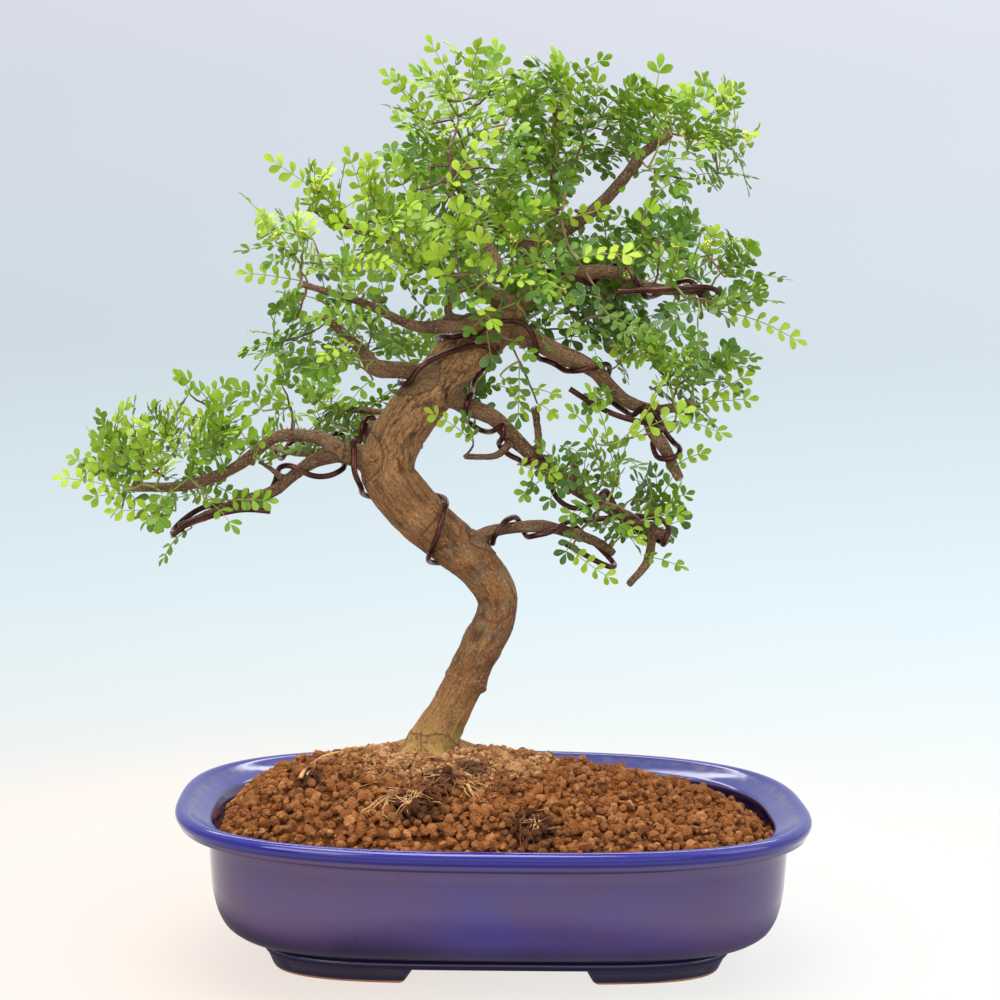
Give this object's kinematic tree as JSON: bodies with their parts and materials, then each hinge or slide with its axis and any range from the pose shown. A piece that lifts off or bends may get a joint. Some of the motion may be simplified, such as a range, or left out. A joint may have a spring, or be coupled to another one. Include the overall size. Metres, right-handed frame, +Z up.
{
  "type": "japanese pepper bonsai",
  "caption": "Potted bonsai tree with a curved trunk, wired branches and pads of small compound leaves in an oval footed glazed pot.",
  "frame": {"origin": "on the ground under the middle of the bounding box", "axes": "+Z up, +X to the right of the front view along the pot's length, front of the tree towards -Y"},
  "size_m": [0.3652, 0.2276, 0.4492],
  "materials": {
    "blue_glaze": "glossy cobalt glaze, thin and paler on the lip, bare clay under the feet",
    "screen_plastic": "matt black woven plastic",
    "staple_wire": "plain drawn wire",
    "akadama": "dry red-brown clay grains",
    "old_soil": "paler fine soil with roots",
    "bark": "tan-brown fissured bark with grey patches",
    "training_wire": "dark brown anodised, satin",
    "leaf": "glossy mid to dark green leaflets",
    "young_leaf": "bright yellow-green new leaflets"
  },
  "bodies": {
    "root": {"pot": "blue_glaze", "drain_screen_left": "screen_plastic", "drain_screen_right": "screen_plastic", "screen_staple_left": "staple_wire", "screen_staple_right": "staple_wire", "akadama_soil": "akadama", "root_ball": "old_soil", "trunk_and_branches": "bark", "wire_low_limbs": "training_wire", "wire_back_limb": "training_wire", "wire_cross": "training_wire", "wire_right": "training_wire", "wire_mid_right": "training_wire", "foliage_left_low": "leaf", "foliage_left_back": "leaf", "foliage_left_upper": "leaf", "foliage_left_crown": "young_leaf", "foliage_top_left": "young_leaf", "foliage_top": "young_leaf", "foliage_top_right": "young_leaf", "foliage_front": "young_leaf", "foliage_back_upper": "leaf", "foliage_mid_right": "leaf", "foliage_back_right": "leaf", "foliage_right": "leaf", "foliage_right_lower": "leaf", "foliage_back_low": "leaf", "foliage_core": "leaf"}
  },
  "joints": []
}
